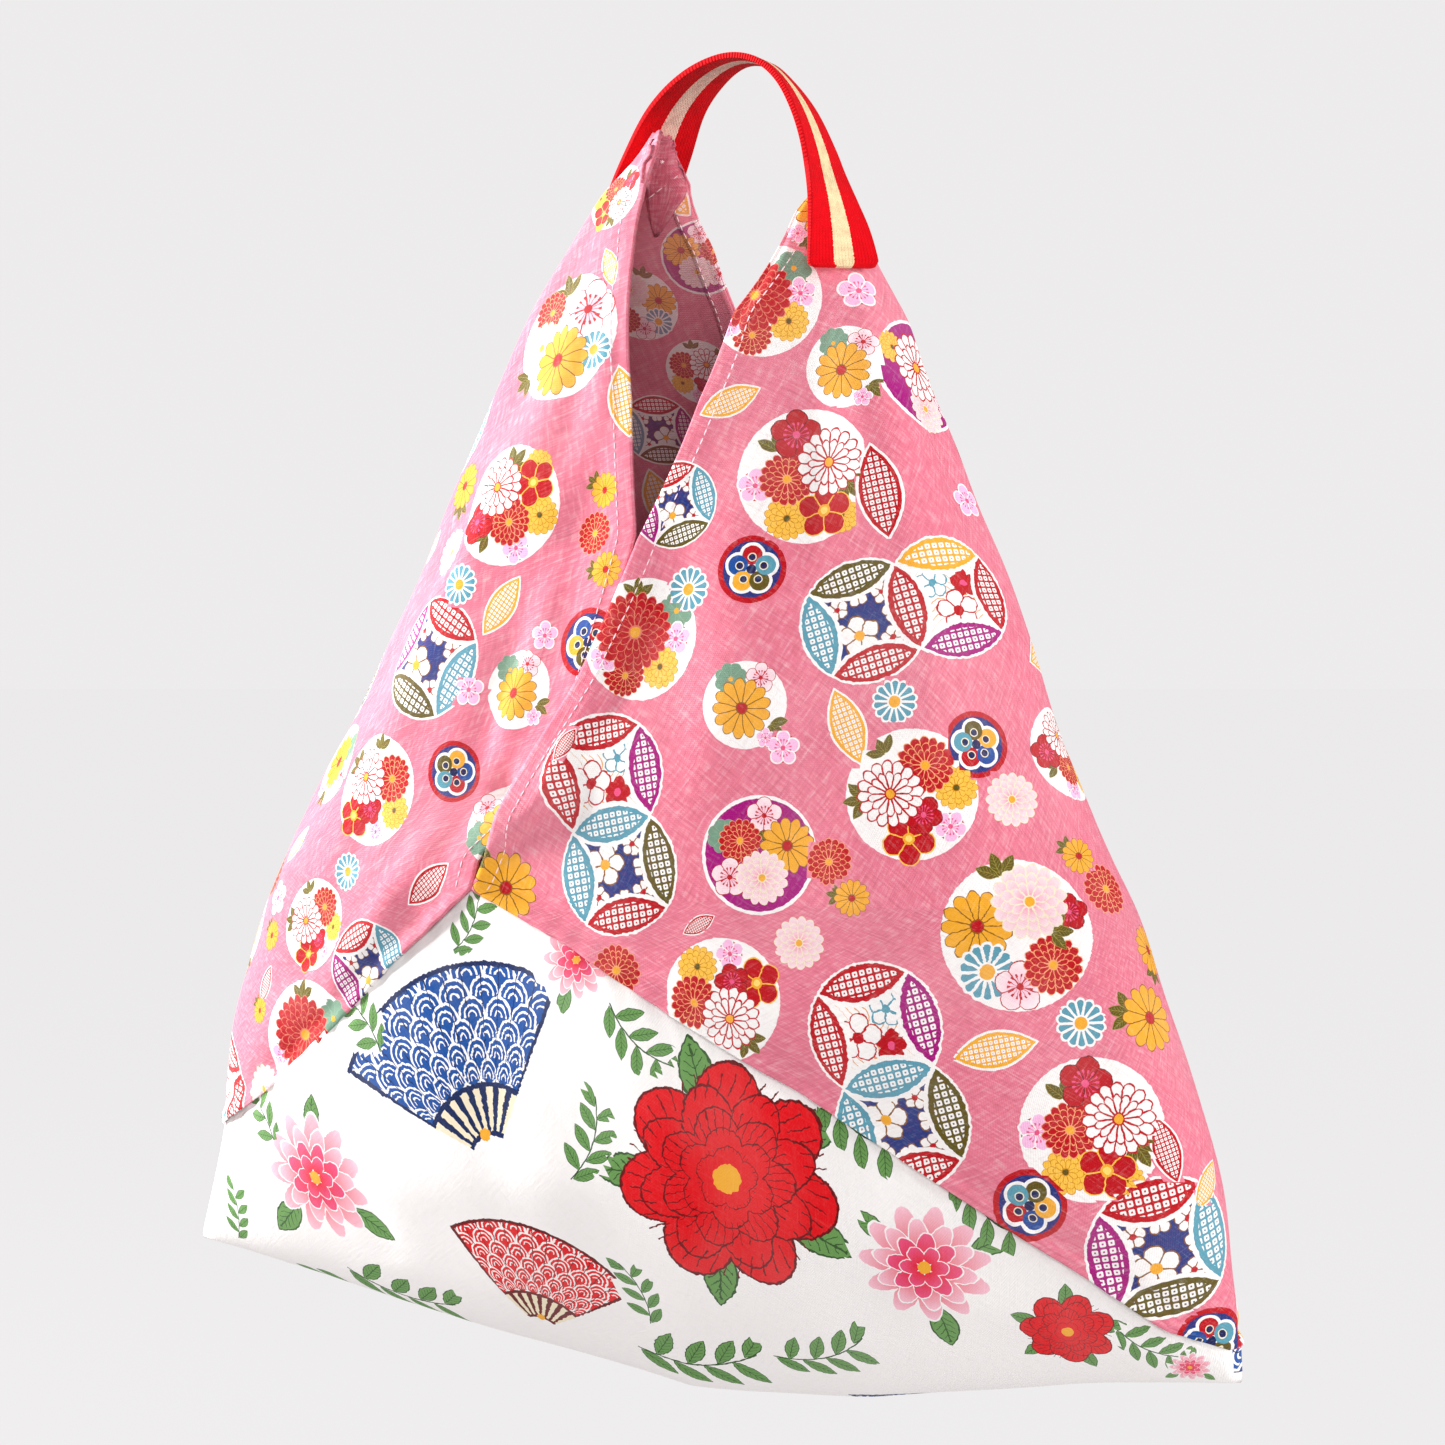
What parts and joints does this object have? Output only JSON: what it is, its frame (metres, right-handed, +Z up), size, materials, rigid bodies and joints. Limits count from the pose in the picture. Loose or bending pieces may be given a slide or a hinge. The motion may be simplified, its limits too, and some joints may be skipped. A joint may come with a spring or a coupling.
{
  "type": "bento bag",
  "caption": "Hanging triangle bag sewn from cotton squares: printed wings lap over a white base and meet at a webbing strap.",
  "frame": {"origin": "where the bag hangs: middle of the strap's inner side at the top of the loop", "axes": "+X to the right, -Y to the front, where the right wing laps over the left, and +Z up"},
  "size_m": [0.4255, 0.3022, 0.5393],
  "materials": {
    "white_cotton": null,
    "printed_cotton": "matte slub cotton with a printed repeat of flower rounds and linked circles",
    "red_webbing": "matte woven webbing with a cream stripe"
  },
  "bodies": {
    "root": {"base_panel": "white_cotton", "left_wing": "printed_cotton", "right_wing": "printed_cotton", "handle_strap": "red_webbing"}
  },
  "joints": []
}
